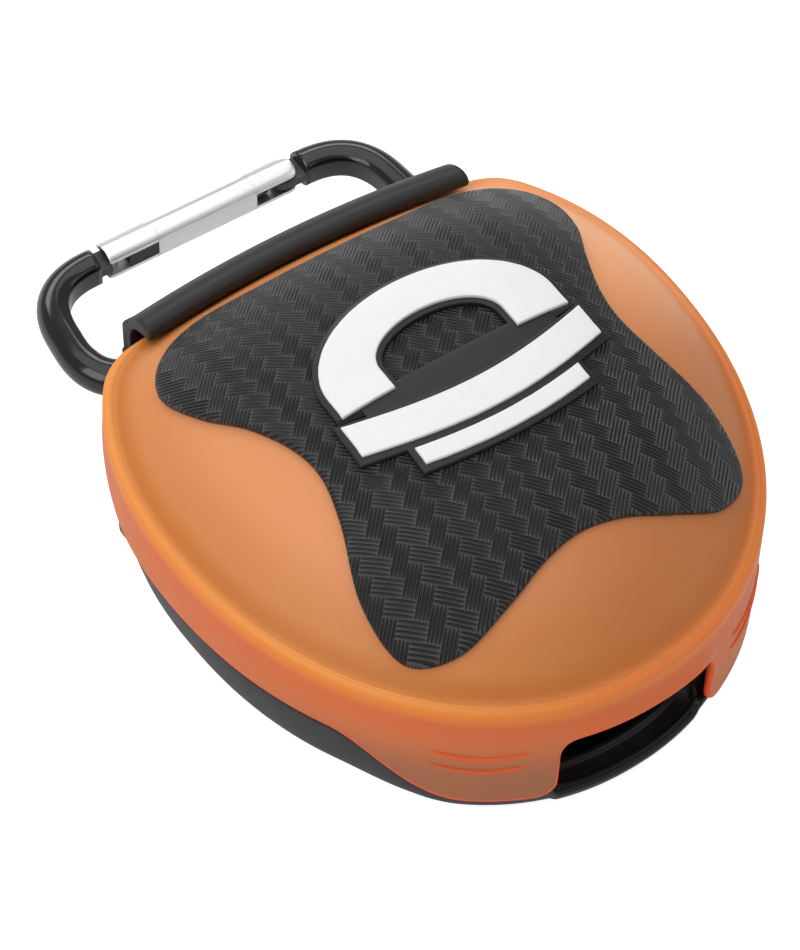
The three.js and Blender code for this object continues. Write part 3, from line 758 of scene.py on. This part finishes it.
def build_pad():
    """The grip pad: a soft sheet with a rounded edge, bonded to the dome."""
    loop = smooth_loop(PAD_HALF + [(-x, y) for x, y in PAD_HALF[:0:-1]], 14)
    centre = np.array([0.0, -13.0])
    reach = np.linalg.norm(loop - centre, axis=1)

    def ring(back, height, share=1.0):
        """The pad's outline pulled in by back, shrunk to a share and laid at a height."""
        flat = centre + (loop - centre) * (share * (1 - back / reach))[:, None]
        return DOME.lay(*flat.T, height)

    rows = [ring(PAD_ROUND, PAD_THICK, share) for share in np.linspace(0.02, 1, 46)[:-1]]
    for turn in QUARTER:
        drop = PAD_ROUND * (1 - math.cos(turn))
        rows.append(ring(PAD_ROUND * (1 - math.sin(turn)), PAD_THICK - drop))
    rows += [ring(0, -0.15), ring(2.0, -0.25)]
    build = Build()
    build.add_skin(rows, DOME.lay(centre[:1], centre[1:], PAD_THICK)[0])
    make_piece("grip_pad", build, TWILL, "lid", ("lid_grip_pad",))


def draped_block(build, shape, across, along, low, high, radius):
    """Adds a block with rounded top edges. shape(a, b) gives x and y for a and b from 0 to 1;
    across and along are its real width and length, used to keep the rounding even."""

    def stations(size, count):
        edge = radius * (1 - np.cos(QUARTER)) / size
        return np.concatenate([edge, np.linspace(edge[-1], 1 - edge[-1], count)[1:-1], 1 - edge[::-1]])

    a = stations(across, 8)
    b = stations(along, max(10, int(along / 0.8)))
    grid_a, grid_b = np.meshgrid(a, b, indexing="ij")
    from_edge = np.minimum(
        np.minimum(grid_a, 1 - grid_a) * across, np.minimum(grid_b, 1 - grid_b) * along)
    near = np.clip(from_edge, 0, radius)
    top = high - radius + np.sqrt(radius**2 - (radius - near) ** 2)
    x, y = shape(grid_a, grid_b)
    start = build.add_grid(DOME.lay(x, y, top))
    index = np.arange(x.size).reshape(x.shape)
    rim = np.concatenate([index[0], index[1:, -1], index[-1, -2::-1], index[-2:0:-1, 0]])
    foot = np.arange(len(rim)) + len(build.points)
    build.points.extend(DOME.lay(x.flat[rim], y.flat[rim], low))
    upper = start + rim
    sides = np.stack([upper, np.roll(upper, -1), np.roll(foot, -1), foot], -1)
    build.faces.extend(map(tuple, sides.tolist()))


def arch_shape(border):
    """The horseshoe, half an oval on two short legs: a from its inner to its outer edge, b from one
    foot to the other."""
    outer = (17.5 + border, 11 + border)
    inner = (9.6 - border, 5.4 - border)
    centre_y = -3.2
    leg = 3.5
    radius = 10
    length = 44.0

    def shape(a, b):
        run = b * (math.pi + 2 * leg / radius) - leg / radius
        turn = np.clip(run, 0, math.pi)
        past = np.abs(run - turn) * radius
        end = np.where((b < 1e-9) | (b > 1 - 1e-9), border, 0.0)
        x = lerp(inner[0], outer[0], a) * np.cos(turn)
        y = lerp(inner[1], outer[1], a) * np.sin(turn) + centre_y - past - end
        return x, y

    return shape, outer[0] - inner[0], length


def bar_shape(half_width, middle, height, border):
    """A bar bent along an arc: a from its lower to its upper edge, b from left to right."""
    rise = 0.0095 * half_width**2  # of the bar's ends

    def shape(a, b):
        along = 2 * b - 1
        x = along * (half_width + border)
        y = middle + (a - 0.5) * (height + 2 * border) + rise * along**2
        return x, y

    return shape, height + 2 * border, 2 * (half_width + border)


def build_badge():
    """A blank badge: a horseshoe over two plain bars, white on a black plate."""

    def shapes(border):
        return arch_shape(border), bar_shape(*UPPER_BAR, border), bar_shape(*LOWER_BAR, border)

    plate = Build()
    for block in shapes(0.9):
        draped_block(plate, *block, PLATE_LOW, PLATE_TOP, 0.3)
    bridge = (lambda a, b: (lerp(-15, 15, b), lerp(-11, -5.5, a))), 5.5, 30.0
    draped_block(plate, *bridge, PLATE_LOW, PLATE_TOP - 0.05, 0.3)
    make_piece("badge_backing", plate, PLATE_BLACK, "lid", ("badge_plate",))
    names = (("badge_horseshoe", "badge_arch"), ("badge_bar_upper", "badge_upper_bar"),
             ("badge_bar_lower", "badge_lower_bar"))
    for (name, node), block in zip(names, shapes(0.0)):
        inlay = Build()
        draped_block(inlay, *block, PLATE_TOP - 0.1, INLAY_TOP, 0.25)
        make_piece(name, inlay, WHITE, "lid", (node,))


# ---- base ----
# Insets (side, front, rear) of the bowl's outer face against its height as a share of the ledge.
BOWL = np.array([
    (0.0, 8.5, 7.0, 8.5), (0.02, 7.0, 5.4, 7.0), (0.05, 6.0, 4.4, 6.0), (0.11, 4.5, 3.3, 5.0),
    (0.2, 3.4, 2.4, 4.2), (0.31, 2.4, 1.6, 3.5), (0.45, 1.6, 1.0, 3.0), (0.6, 1.05, 0.6, 2.8),
    (0.75, 0.7, 0.35, 2.6), (0.9, 0.45, 0.25, 2.5), (0.955, 0.42, 0.25, 2.5), (0.985, 0.65, 0.5, 2.5),
    (1.0, 1.1, 1.0, 2.5),
])


def ledge_height(u):
    """The step that the lid's skirt stops just above."""
    return np.minimum(plain_edge(u) - 0.4, BASE_RIM_Z - 0.3)


def cavity_inset(z):
    """How far the bowl's inner face lies inside the outline at a height."""
    return np.interp(z, [FLOOR_Z, 2.5, 3.6, 8.0, 12.0], [8.5, 6.9, 5.8, 4.4, 4.1])


def mouth_edge():
    """Top edge of the base: a low sill in the opening that curves up behind the lid's tabs. It's the
    floor of the channel between the two lips."""
    flat, cheek, cheek_top, corner = 9.5, 14.2, 15.3, 1.2
    cheek_foot = SILL_Z + 6
    shoulder = BASE_RIM_Z - corner
    fine_to = 30.0
    curve = bend((flat, SILL_Z), (cheek, SILL_Z), (cheek, cheek_foot), 16)[1:]
    arc = np.radians(np.linspace(180, 90, 7))
    after = np.concatenate([
        np.arange(cheek_top + 1.9, fine_to, 0.8), np.linspace(fine_to, HALF_LOOP, 116)])
    u = np.concatenate([
        np.linspace(0, flat, 12), curve[:, 0], np.linspace(cheek, cheek_top, 14)[1:-1],
        cheek_top + corner + corner * np.cos(arc), after])
    z = np.concatenate([
        np.full(12, SILL_Z), curve[:, 1], np.linspace(cheek_foot, shoulder, 14)[1:-1],
        shoulder + corner * np.sin(arc), np.full(len(after), BASE_RIM_Z)])
    return mirror_edge(u, z, flat, 22.0)


def base_wall(u, z, inset):
    return stack(*outline(angle_at(u), inset), z)


def build_base():
    """The bowl as one skin, with the hinge knuckles and the carabiner's eye set into it."""
    u, z, far, out_u, out_z = mouth_edge()
    t = angle_at(far)
    in_mouth = 1 - smoothstep(0.2, 2.2, z - ledge_height(u))
    band_top = np.minimum(ledge_height(far), lerp(ledge_height(far), SILL_Z - 0.1, in_mouth))
    rows = [stack(*outline(t, *insets), share * band_top) for share, *insets in BOWL]
    outside = 2.5
    outer = lerp(outside, 1.2, in_mouth)
    inner = outside + BASE_WALL
    u_in = u - LIP * out_u
    z_in = z - LIP * out_z
    for share in np.linspace(0, 1, 9):
        height = lerp(band_top, np.maximum(z_in, band_top), share)
        rows.append(base_wall(lerp(far, u_in, share), height, outer))
    rows += turned_edge(base_wall, u_in, z_in, out_u, out_z, LIP, outer, inner, (30, 60, 90))
    for share in np.linspace(0, 1, 14)[1:]:
        height = lerp(z_in, FLOOR_Z, share)
        rows.append(base_wall(lerp(u_in, far, share), height, np.maximum(cavity_inset(height), inner)))
    foot = rows[-1]
    middle = np.array([0, DOME_Y, FLOOR_Z])  # of the bowl's floor
    for shrink in (0.75, 0.5, 0.25, 0.02):
        rows.append(middle + (foot - middle) * shrink)
    build = Build()
    build.add_skin(rows, (0, DOME_Y, 0), middle)
    gusset = [(26, 9.5), (29.4, 9.5), (33.8, 16.2), (33.8, 18), (26, 18)]
    add_knuckles(build, gusset, BASE_KNUCKLE)
    low, high = CLIP_Z - LUG_R, CLIP_Z + LUG_R
    lug = [(27, low), (SPINE_Y, low), (SPINE_Y, high), (27, high)]
    add_eye(build, (SPINE_Y, CLIP_Z), LUG_HOLE_R, LUG_R, lug, -LUG_HALF, LUG_HALF, 0.5)
    make_piece("base_bowl", build, BASE_BLACK, "case_base", ("base_shell",))


def ray_reach(centre, polygon, angle):
    """How far a ray from the centre runs before it leaves the polygon, or 0 if it never meets it."""

    def cross(p, q):
        return p[0] * q[1] - p[1] * q[0]

    ray = (math.cos(angle), math.sin(angle))
    tiny = 1e-9
    corners = np.array(polygon) - centre
    reach = 0.0
    for corner, following in zip(corners, np.roll(corners, -1, axis=0)):
        side = following - corner
        slant = cross(ray, side)
        if abs(slant) < tiny:
            continue
        distance = cross(corner, side) / slant
        along = cross(corner, ray) / slant
        if distance > 0 and -tiny <= along <= 1 + tiny:
            reach = max(reach, distance)
    return reach


def add_eye(build, centre, hole_r, barrel_r, arm, x0, x1, chamfer=0.22):
    """A knuckle or lug: a barrel with an arm, bored along X, its edges broken."""
    angles = circle(72)
    middle = np.array(centre, float)
    reach = np.array([max(barrel_r, ray_reach(middle, arm, a)) for a in angles])
    # (radius, distance from the end) of one end; a radius up to 0 is counted in from the outside
    curve = 0.3 * chamfer
    end = [(hole_r, chamfer), (hole_r + curve, curve), (hole_r + chamfer, 0),
           (-chamfer, 0), (-curve, curve), (0, chamfer)]
    profile = [(radius, x0 + back) for radius, back in end]
    profile += [(radius, x1 - back) for radius, back in end[::-1]]
    rows = []
    for radius, x in profile:
        size = radius if radius > 0 else reach + radius
        rows.append(stack(x, middle[0] + size * np.cos(angles), middle[1] + size * np.sin(angles)))
    build.add_grid(np.array(rows), wrap_columns=True, wrap_rows=True)


def add_knuckles(build, arm, *spans):
    """Knuckles of the hinge on both sides, each span its two distances from the middle plane."""
    for hand in (-1, 1):
        for span in spans:
            add_eye(build, HINGE, PIN_HOLE_R, BARREL_R, arm, *sorted(hand * x for x in span))


# ---- hinge rail ----
RAIL_OUTER = [(29.7, 28.6), (28.9, 29.1), (28.7, 30.0), (29.3, 30.8), (30.6, 31.0), (32.4, 30.3),
              (34.0, 28.9), (35.1, 27.0), (35.6, 24.6), (35.6, 20.8), (35.2, 20.4)]
RAIL_INNER = [(34.7, 20.6), (34.4, 21.4), (34.4, 24.6), (33.8, 26.4), (32.8, 27.5), (31.6, 28.1),
              (30.6, 28.4)]


def build_rail():
    """The C-shaped rail along the rear edge of the lid, with its knuckles."""
    loop = smooth_loop(RAIL_OUTER + RAIL_INNER, 5)
    ends = RAIL_HALF - np.array([0, 0.08, 0.25, RAIL_ROUND])
    stations = np.concatenate([-ends, np.linspace(-RAIL_HALF + 1, RAIL_HALF - 1, 80), ends[::-1]])
    along = np.roll(loop, -1, axis=0) - np.roll(loop, 1, axis=0)
    outward = along[:, ::-1] * (-1, 1) / np.linalg.norm(along, axis=1)[:, None]
    rows = []
    for x in stations:
        from_end = RAIL_HALF - abs(x)
        tuck = 0.35 * (1 - math.sqrt(max(0.0, 1 - (1 - min(from_end / RAIL_ROUND, 1)) ** 2)))
        section = loop - outward * tuck
        rows.append(stack(x, section[:, 0] + rear_edge(x) - REAR_Y, section[:, 1]))
    build = Build()
    build.add_tube(rows)
    # the arm that each of the rail's knuckles hangs on, as (y, z)
    leg = [(32.8, 18), (35.0, 18), (35.0, 25.5), (32.8, 26.6)]
    add_knuckles(build, leg, *RAIL_KNUCKLES)
    make_piece("hinge_rail_looks", build, RAIL_BLACK, "lid", ("hinge_rail",))


# ---- carabiner ----
def clip_path():
    """The carabiner's centre line in plan, from one gate end round the spine to the other."""
    gate_elbow, spine_elbow = 9.0, 9.5
    lean = (CLIP_HALF_SPINE - CLIP_HALF_GATE) / (GATE_Y - SPINE_Y)

    def side(y):
        return CLIP_HALF_SPINE - lean * (y - SPINE_Y), y

    half = np.vstack([
        (FRAME_END_X, GATE_Y),
        bend((CLIP_HALF_GATE - gate_elbow, GATE_Y), side(GATE_Y), side(GATE_Y - gate_elbow), 29),
        bend(side(SPINE_Y + spine_elbow), side(SPINE_Y), (CLIP_HALF_SPINE - spine_elbow, SPINE_Y), 29),
        [(x, SPINE_Y) for x in (16.0, 12.0, 8.0, 4.0, 0.0)],
    ])
    return np.vstack([half * (-1, 1), half[-2::-1]])


def rod_section(flat):
    """The rod's round section with its inner face flattened, as (towards the loop, up)."""
    angles = circle(40)
    inward = ROD_R * np.cos(angles)
    return np.where(inward > flat, flat + (inward - flat) * 0.06, inward), ROD_R * np.sin(angles)


def build_clip_frame():
    """The carabiner's rod, round along its spine and flattened inside toward its two ends."""
    path = clip_path()
    tangent = np.gradient(path, axis=0)
    toward = tangent[:, ::-1] * (-1, 1) / np.linalg.norm(tangent, axis=1)[:, None]
    flat_share = smoothstep(SPINE_Y + 1, SPINE_Y + 8, path[:, 1])
    rows = []
    for centre, side, share in zip(path, toward, flat_share):
        inward, up = rod_section(lerp(ROD_R, ROD_FLAT, share))
        rows.append(stack(centre[0] + side[0] * inward, centre[1] + side[1] * inward, CLIP_Z + up))
    first, last = (lerp(np.array([*path[end], CLIP_Z]), rows[end], 0.9) for end in (0, -1))
    build = Build()
    build.add_tube([first, *rows, last])
    make_piece("clip_rod", build, ANODISED, "carabiner", ("carabiner_frame",))


def plate(outline_points, half):
    """A flat plate on the carabiner's middle plane, with broken edges, as a Build."""
    loop = np.array(outline_points, float)
    middle = loop.mean(axis=0)
    away = loop - middle
    size = np.linalg.norm(away, axis=1)[:, None]
    broken = 0.15
    rings = []
    for up, pull in ((-half, broken), (broken - half, 0.0), (half - broken, 0.0), (half, broken)):
        rings.append(stack(*(middle + away * (1 - pull / size)).T, CLIP_Z + up))
    build = Build()
    build.add_tube(rings)
    return build


def build_tongues():
    """The two grey tongues that the gate closes on: one round-ended at the pivot, one notched. They
    have no bores, and the rivet passes straight through the first."""
    root = FRAME_END_X + 0.8
    half = GATE_FLAT
    arc = np.radians(np.linspace(90, 270, 15))
    nose = [(PIVOT_X + TONGUE_R * math.cos(a), GATE_Y + TONGUE_R * math.sin(a)) for a in arc]
    pivot = nose + [(root, GATE_Y - TONGUE_R), (root, GATE_Y + TONGUE_R)]
    latch = [
        (-root, GATE_Y + half), (-root, GATE_Y - half), (LATCH_X - 1, GATE_Y - half),
        (LATCH_X - 1, GATE_Y + 1), (LATCH_X + 1, GATE_Y + 1), (LATCH_X + 1.5, GATE_Y + 1.2),
        (LATCH_X + 1.5, GATE_Y + half)]
    for name, shape in (("pivot_tongue", pivot), ("latch_tongue", latch)):
        make_piece(name, plate(shape, TONGUE_HALF), TONGUE_GREY, "carabiner",
                   smooth=False)


def gate_section(low, high):
    """The gate's section between two heights: round, with a flat inner face."""
    angles = circle(96)
    return np.maximum(GATE_R * np.cos(angles), -GATE_FLAT), np.clip(GATE_R * np.sin(angles), low, high)


def build_gate():
    """The spring gate: a round bar, flat inside, forked at both ends round the tongues."""
    end_x = 16.3
    slot = 1.3
    fork_left, fork_right = -8.0, 9.1
    tip = [(end_x, 0.9), (end_x - 0.12, 0.97), (end_x - 0.3, 1.0)]  # place along the bar, and size
    build = Build()

    def bar(stations, low, high):
        y, z = gate_section(low, high)
        middle = (low + high) / 2
        rings = []
        for x, size in stations:
            narrow = 1.0
            if x > PIVOT_X:
                narrow = math.sqrt(max(GATE_R**2 - (x - PIVOT_X) ** 2, 0.2)) / GATE_R
            rings.append(stack(x, GATE_Y + y * narrow * size, CLIP_Z + (z - middle) * size + middle))
        build.add_tube(rings)

    bar([(x, 1.0) for x in np.linspace(fork_left, fork_right, 12)], -GATE_R, GATE_R)
    for low, high in ((slot, GATE_R), (-GATE_R, -slot)):
        bar([(-x, size) for x, size in tip] + [(fork_left + 0.1, 1.0)], low, high)
        right = [(fork_right - 0.1, 1.0)] + [(x, 1.0) for x in np.linspace(PIVOT_X, end_x - 0.3, 8)]
        bar(right + tip[1::-1], low, high)
    piece = make_piece("clip_gate", build, ALUMINIUM, "gate", ("carabiner_gate",),
                       smooth=False)
    smooth_by_angle(piece, 30)
    piece.data.materials.append(PLATE_BLACK)
    for face in piece.data.polygons:
        if face.normal.x < -0.9 and face.center.x < -0.9 * end_x * MM:
            face.material_index = 1
    lining_end = LATCH_X + 2.1
    lining = [(fork_left, GATE_Y - 1.8), (fork_left, GATE_Y + GATE_FLAT),
              (lining_end, GATE_Y + GATE_FLAT), (lining_end, GATE_Y - 1.8)]
    make_piece("gate_slot_lining", plate(lining, slot - 0.02), PLATE_BLACK, "gate",
               smooth=False)


def smooth_by_angle(piece, degrees):
    """Smooth shading, with edges sharper than the angle left crisp."""
    limit = math.radians(degrees)
    piece.data.polygons.foreach_set("use_smooth", [True] * len(piece.data.polygons))
    tidy = bmesh.new()
    tidy.from_mesh(piece.data)
    for edge in tidy.edges:
        if len(edge.link_faces) == 2 and edge.calc_face_angle(0) > limit:
            edge.smooth = False
    tidy.to_mesh(piece.data)
    tidy.free()


# ---- mouthguard ----
GUARD_HALF = 28.5
GUARD_FRONT = -32.0
GUARD_REAR = 12.0
GUARD_BOTTOM = 2.3


def guard_path(inset, count):
    """The dental arch, inset from its outer edge, from the left heel to the right one."""
    heel = 22.0  # length of each straight leg behind the arch
    shoulder = GUARD_REAR - heel
    half = GUARD_HALF - inset
    reach = shoulder - GUARD_FRONT - inset
    legs = 16
    turn = math.pi + math.pi * np.linspace(0, 1, count - 2 * legs)
    x = half * np.cos(turn)
    y = shoulder + reach * np.sin(turn)
    up = np.linspace(1, 0, legs + 1)[:-1]
    left = np.column_stack([-half - 0.4 * up, shoulder + heel * up])
    right = np.column_stack([half + 0.4 * up[::-1], shoulder + heel * up[::-1]])
    return np.vstack([left, np.column_stack([x, y]), right])


def guard_sweep(name, profile, material, node, trim):
    """Sweeps a closed profile of (inset, height) round the arch, with its walls trimmed by trim."""
    count = 110
    loop = smooth_loop(profile, 4)
    along = np.linspace(-1, 1, count)
    tops = trim(along)
    columns = []
    for inset, height in loop:
        z = GUARD_BOTTOM + height * np.where(height > 4, tops, 1.0)
        columns.append(stack(*guard_path(inset, count).T, z))
    build = Build()
    build.add_tube(np.array(columns).transpose(1, 0, 2))
    make_piece(name, build, material, "case_base", (node,))


def build_guard():
    """The mouthguard: a U-shaped trough, lower at its heels, notched at the front, with a gel lining."""

    def trim(along):
        heels = 1 - 0.3 * smoothstep(0.45, 1.0, np.abs(along))
        notch = 1 - 0.22 * np.exp(-((along / 0.035) ** 2))
        return heels * notch

    shell = [(0.6, 0.2), (0.1, 1.6), (0.1, 8), (0.5, 14.5), (1.2, 16.6), (2.1, 16.2), (2.4, 14), (2.5, 6),
             (2.8, 3.6), (5.5, 3.1), (8.2, 3.6), (8.7, 6), (8.8, 10), (9.3, 11.8), (10.3, 11.6),
             (10.9, 9.5), (10.9, 2), (10.2, 0.3), (5.5, 0.1)]
    lining = [(3.0, 4.1), (2.75, 6), (2.75, 13.5), (3.2, 15.2), (3.9, 14.6), (4.2, 12), (4.3, 6.6),
              (5.0, 5.3), (6.6, 5.3), (7.0, 6.4), (7.1, 9.2), (7.6, 10.4), (8.3, 9.8), (8.4, 6),
              (8.1, 4.2), (5.5, 3.7)]
    guard_sweep("guard_trough", shell, GUARD_SHELL, "mouthguard_frame", trim)
    guard_sweep("guard_lining", lining, GUARD_GEL, "mouthguard_liner", trim)


# ---- carried-over CAD nodes ----
def finish_steel():
    """New materials for the small metal pieces that keep their CAD shape."""
    for name in ("hinge_pin_left", "hinge_pin_right", "gate_pivot_rivet", "gate_latch_pin",
                 "gate_plunger", "gate_spring"):
        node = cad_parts[name]
        node.data.materials.clear()
        node.data.materials.append(DARK_STEEL if name == "gate_plunger" else STEEL)


# ---- stage ----
def build_floor():
    mesh = bpy.data.meshes.new("floor")
    size = 3.0
    corners = [(-size, -size, 0), (size, -size, 0), (size, size, 0), (-size, size, 0)]
    mesh.from_pydata(corners, [], [(0, 1, 2, 3)])
    mesh.materials.append(FLOOR)
    new_object("floor", mesh)


def area_light(name, place, size, power):
    """A white panel of the given size in metres, turned to face the case."""
    light = bpy.data.lights.new(name, "AREA")
    light.shape = "RECTANGLE"
    light.size, light.size_y = size
    light.energy = power
    lamp = new_object(name, light)
    lamp.location = place
    lamp.rotation_mode = "QUATERNION"
    case_middle = Vector((0, 0, 0.02))
    lamp.rotation_quaternion = (case_middle - Vector(place)).to_track_quat("-Z", "Y")


def build_lights():
    area_light("overhead", (0.0, 0.1, 0.9), (1.0, 1.0), 3.3)
    area_light("key", (-0.7, -0.1, 0.6), (0.6, 0.6), 2.8)
    area_light("fill", (0.6, -0.5, 0.5), (0.6, 0.5), 0.75)
    area_light("back", (0.15, 0.7, 0.5), (0.9, 0.25), 2.1)
    world = bpy.data.worlds.new("studio")
    world.use_nodes = True
    tree = world.node_tree
    background = tree.nodes["Background"]
    background.inputs["Color"].default_value = grey(1)
    seen = tree.nodes.new("ShaderNodeLightPath").outputs["Is Camera Ray"]
    strength = tree.nodes.new("ShaderNodeMapRange")
    strength.inputs["To Min"].default_value = 0.35
    strength.inputs["To Max"].default_value = 1.0
    tree.links.new(seen, strength.inputs["Value"])
    tree.links.new(strength.outputs[0], background.inputs["Strength"])
    bpy.context.scene.world = world


def build_camera():
    """The camera at the photo's angle: seen from the front left, well above the case."""
    azimuth, elevation, roll = (math.radians(a) for a in (37.14, 53.70, 3.57))
    distance = 0.4195
    target = Vector((-0.00497, -0.00262, 0.0167))
    forward = Vector((
        math.sin(azimuth) * math.cos(elevation), math.cos(azimuth) * math.cos(elevation),
        -math.sin(elevation)))
    level = Vector((math.cos(azimuth), -math.sin(azimuth), 0))
    upright = level.cross(forward)
    right = math.cos(roll) * level + math.sin(roll) * upright
    up = math.cos(roll) * upright - math.sin(roll) * level
    camera = bpy.data.cameras.new("camera")
    camera.sensor_width = 36.0
    camera.lens = 116.1
    holder = new_object("camera", camera)
    turn = Matrix((right, up, -forward)).transposed()
    holder.matrix_world = Matrix.Translation(target - distance * forward) @ turn.to_4x4()
    bpy.context.scene.camera = holder


build_lid()
build_tab_ribs()
build_pad()
build_badge()
build_base()
build_rail()
build_clip_frame()
build_tongues()
build_gate()
build_guard()
finish_steel()
build_floor()
build_lights()
build_camera()
bpy.context.scene.view_settings.view_transform = "Standard"
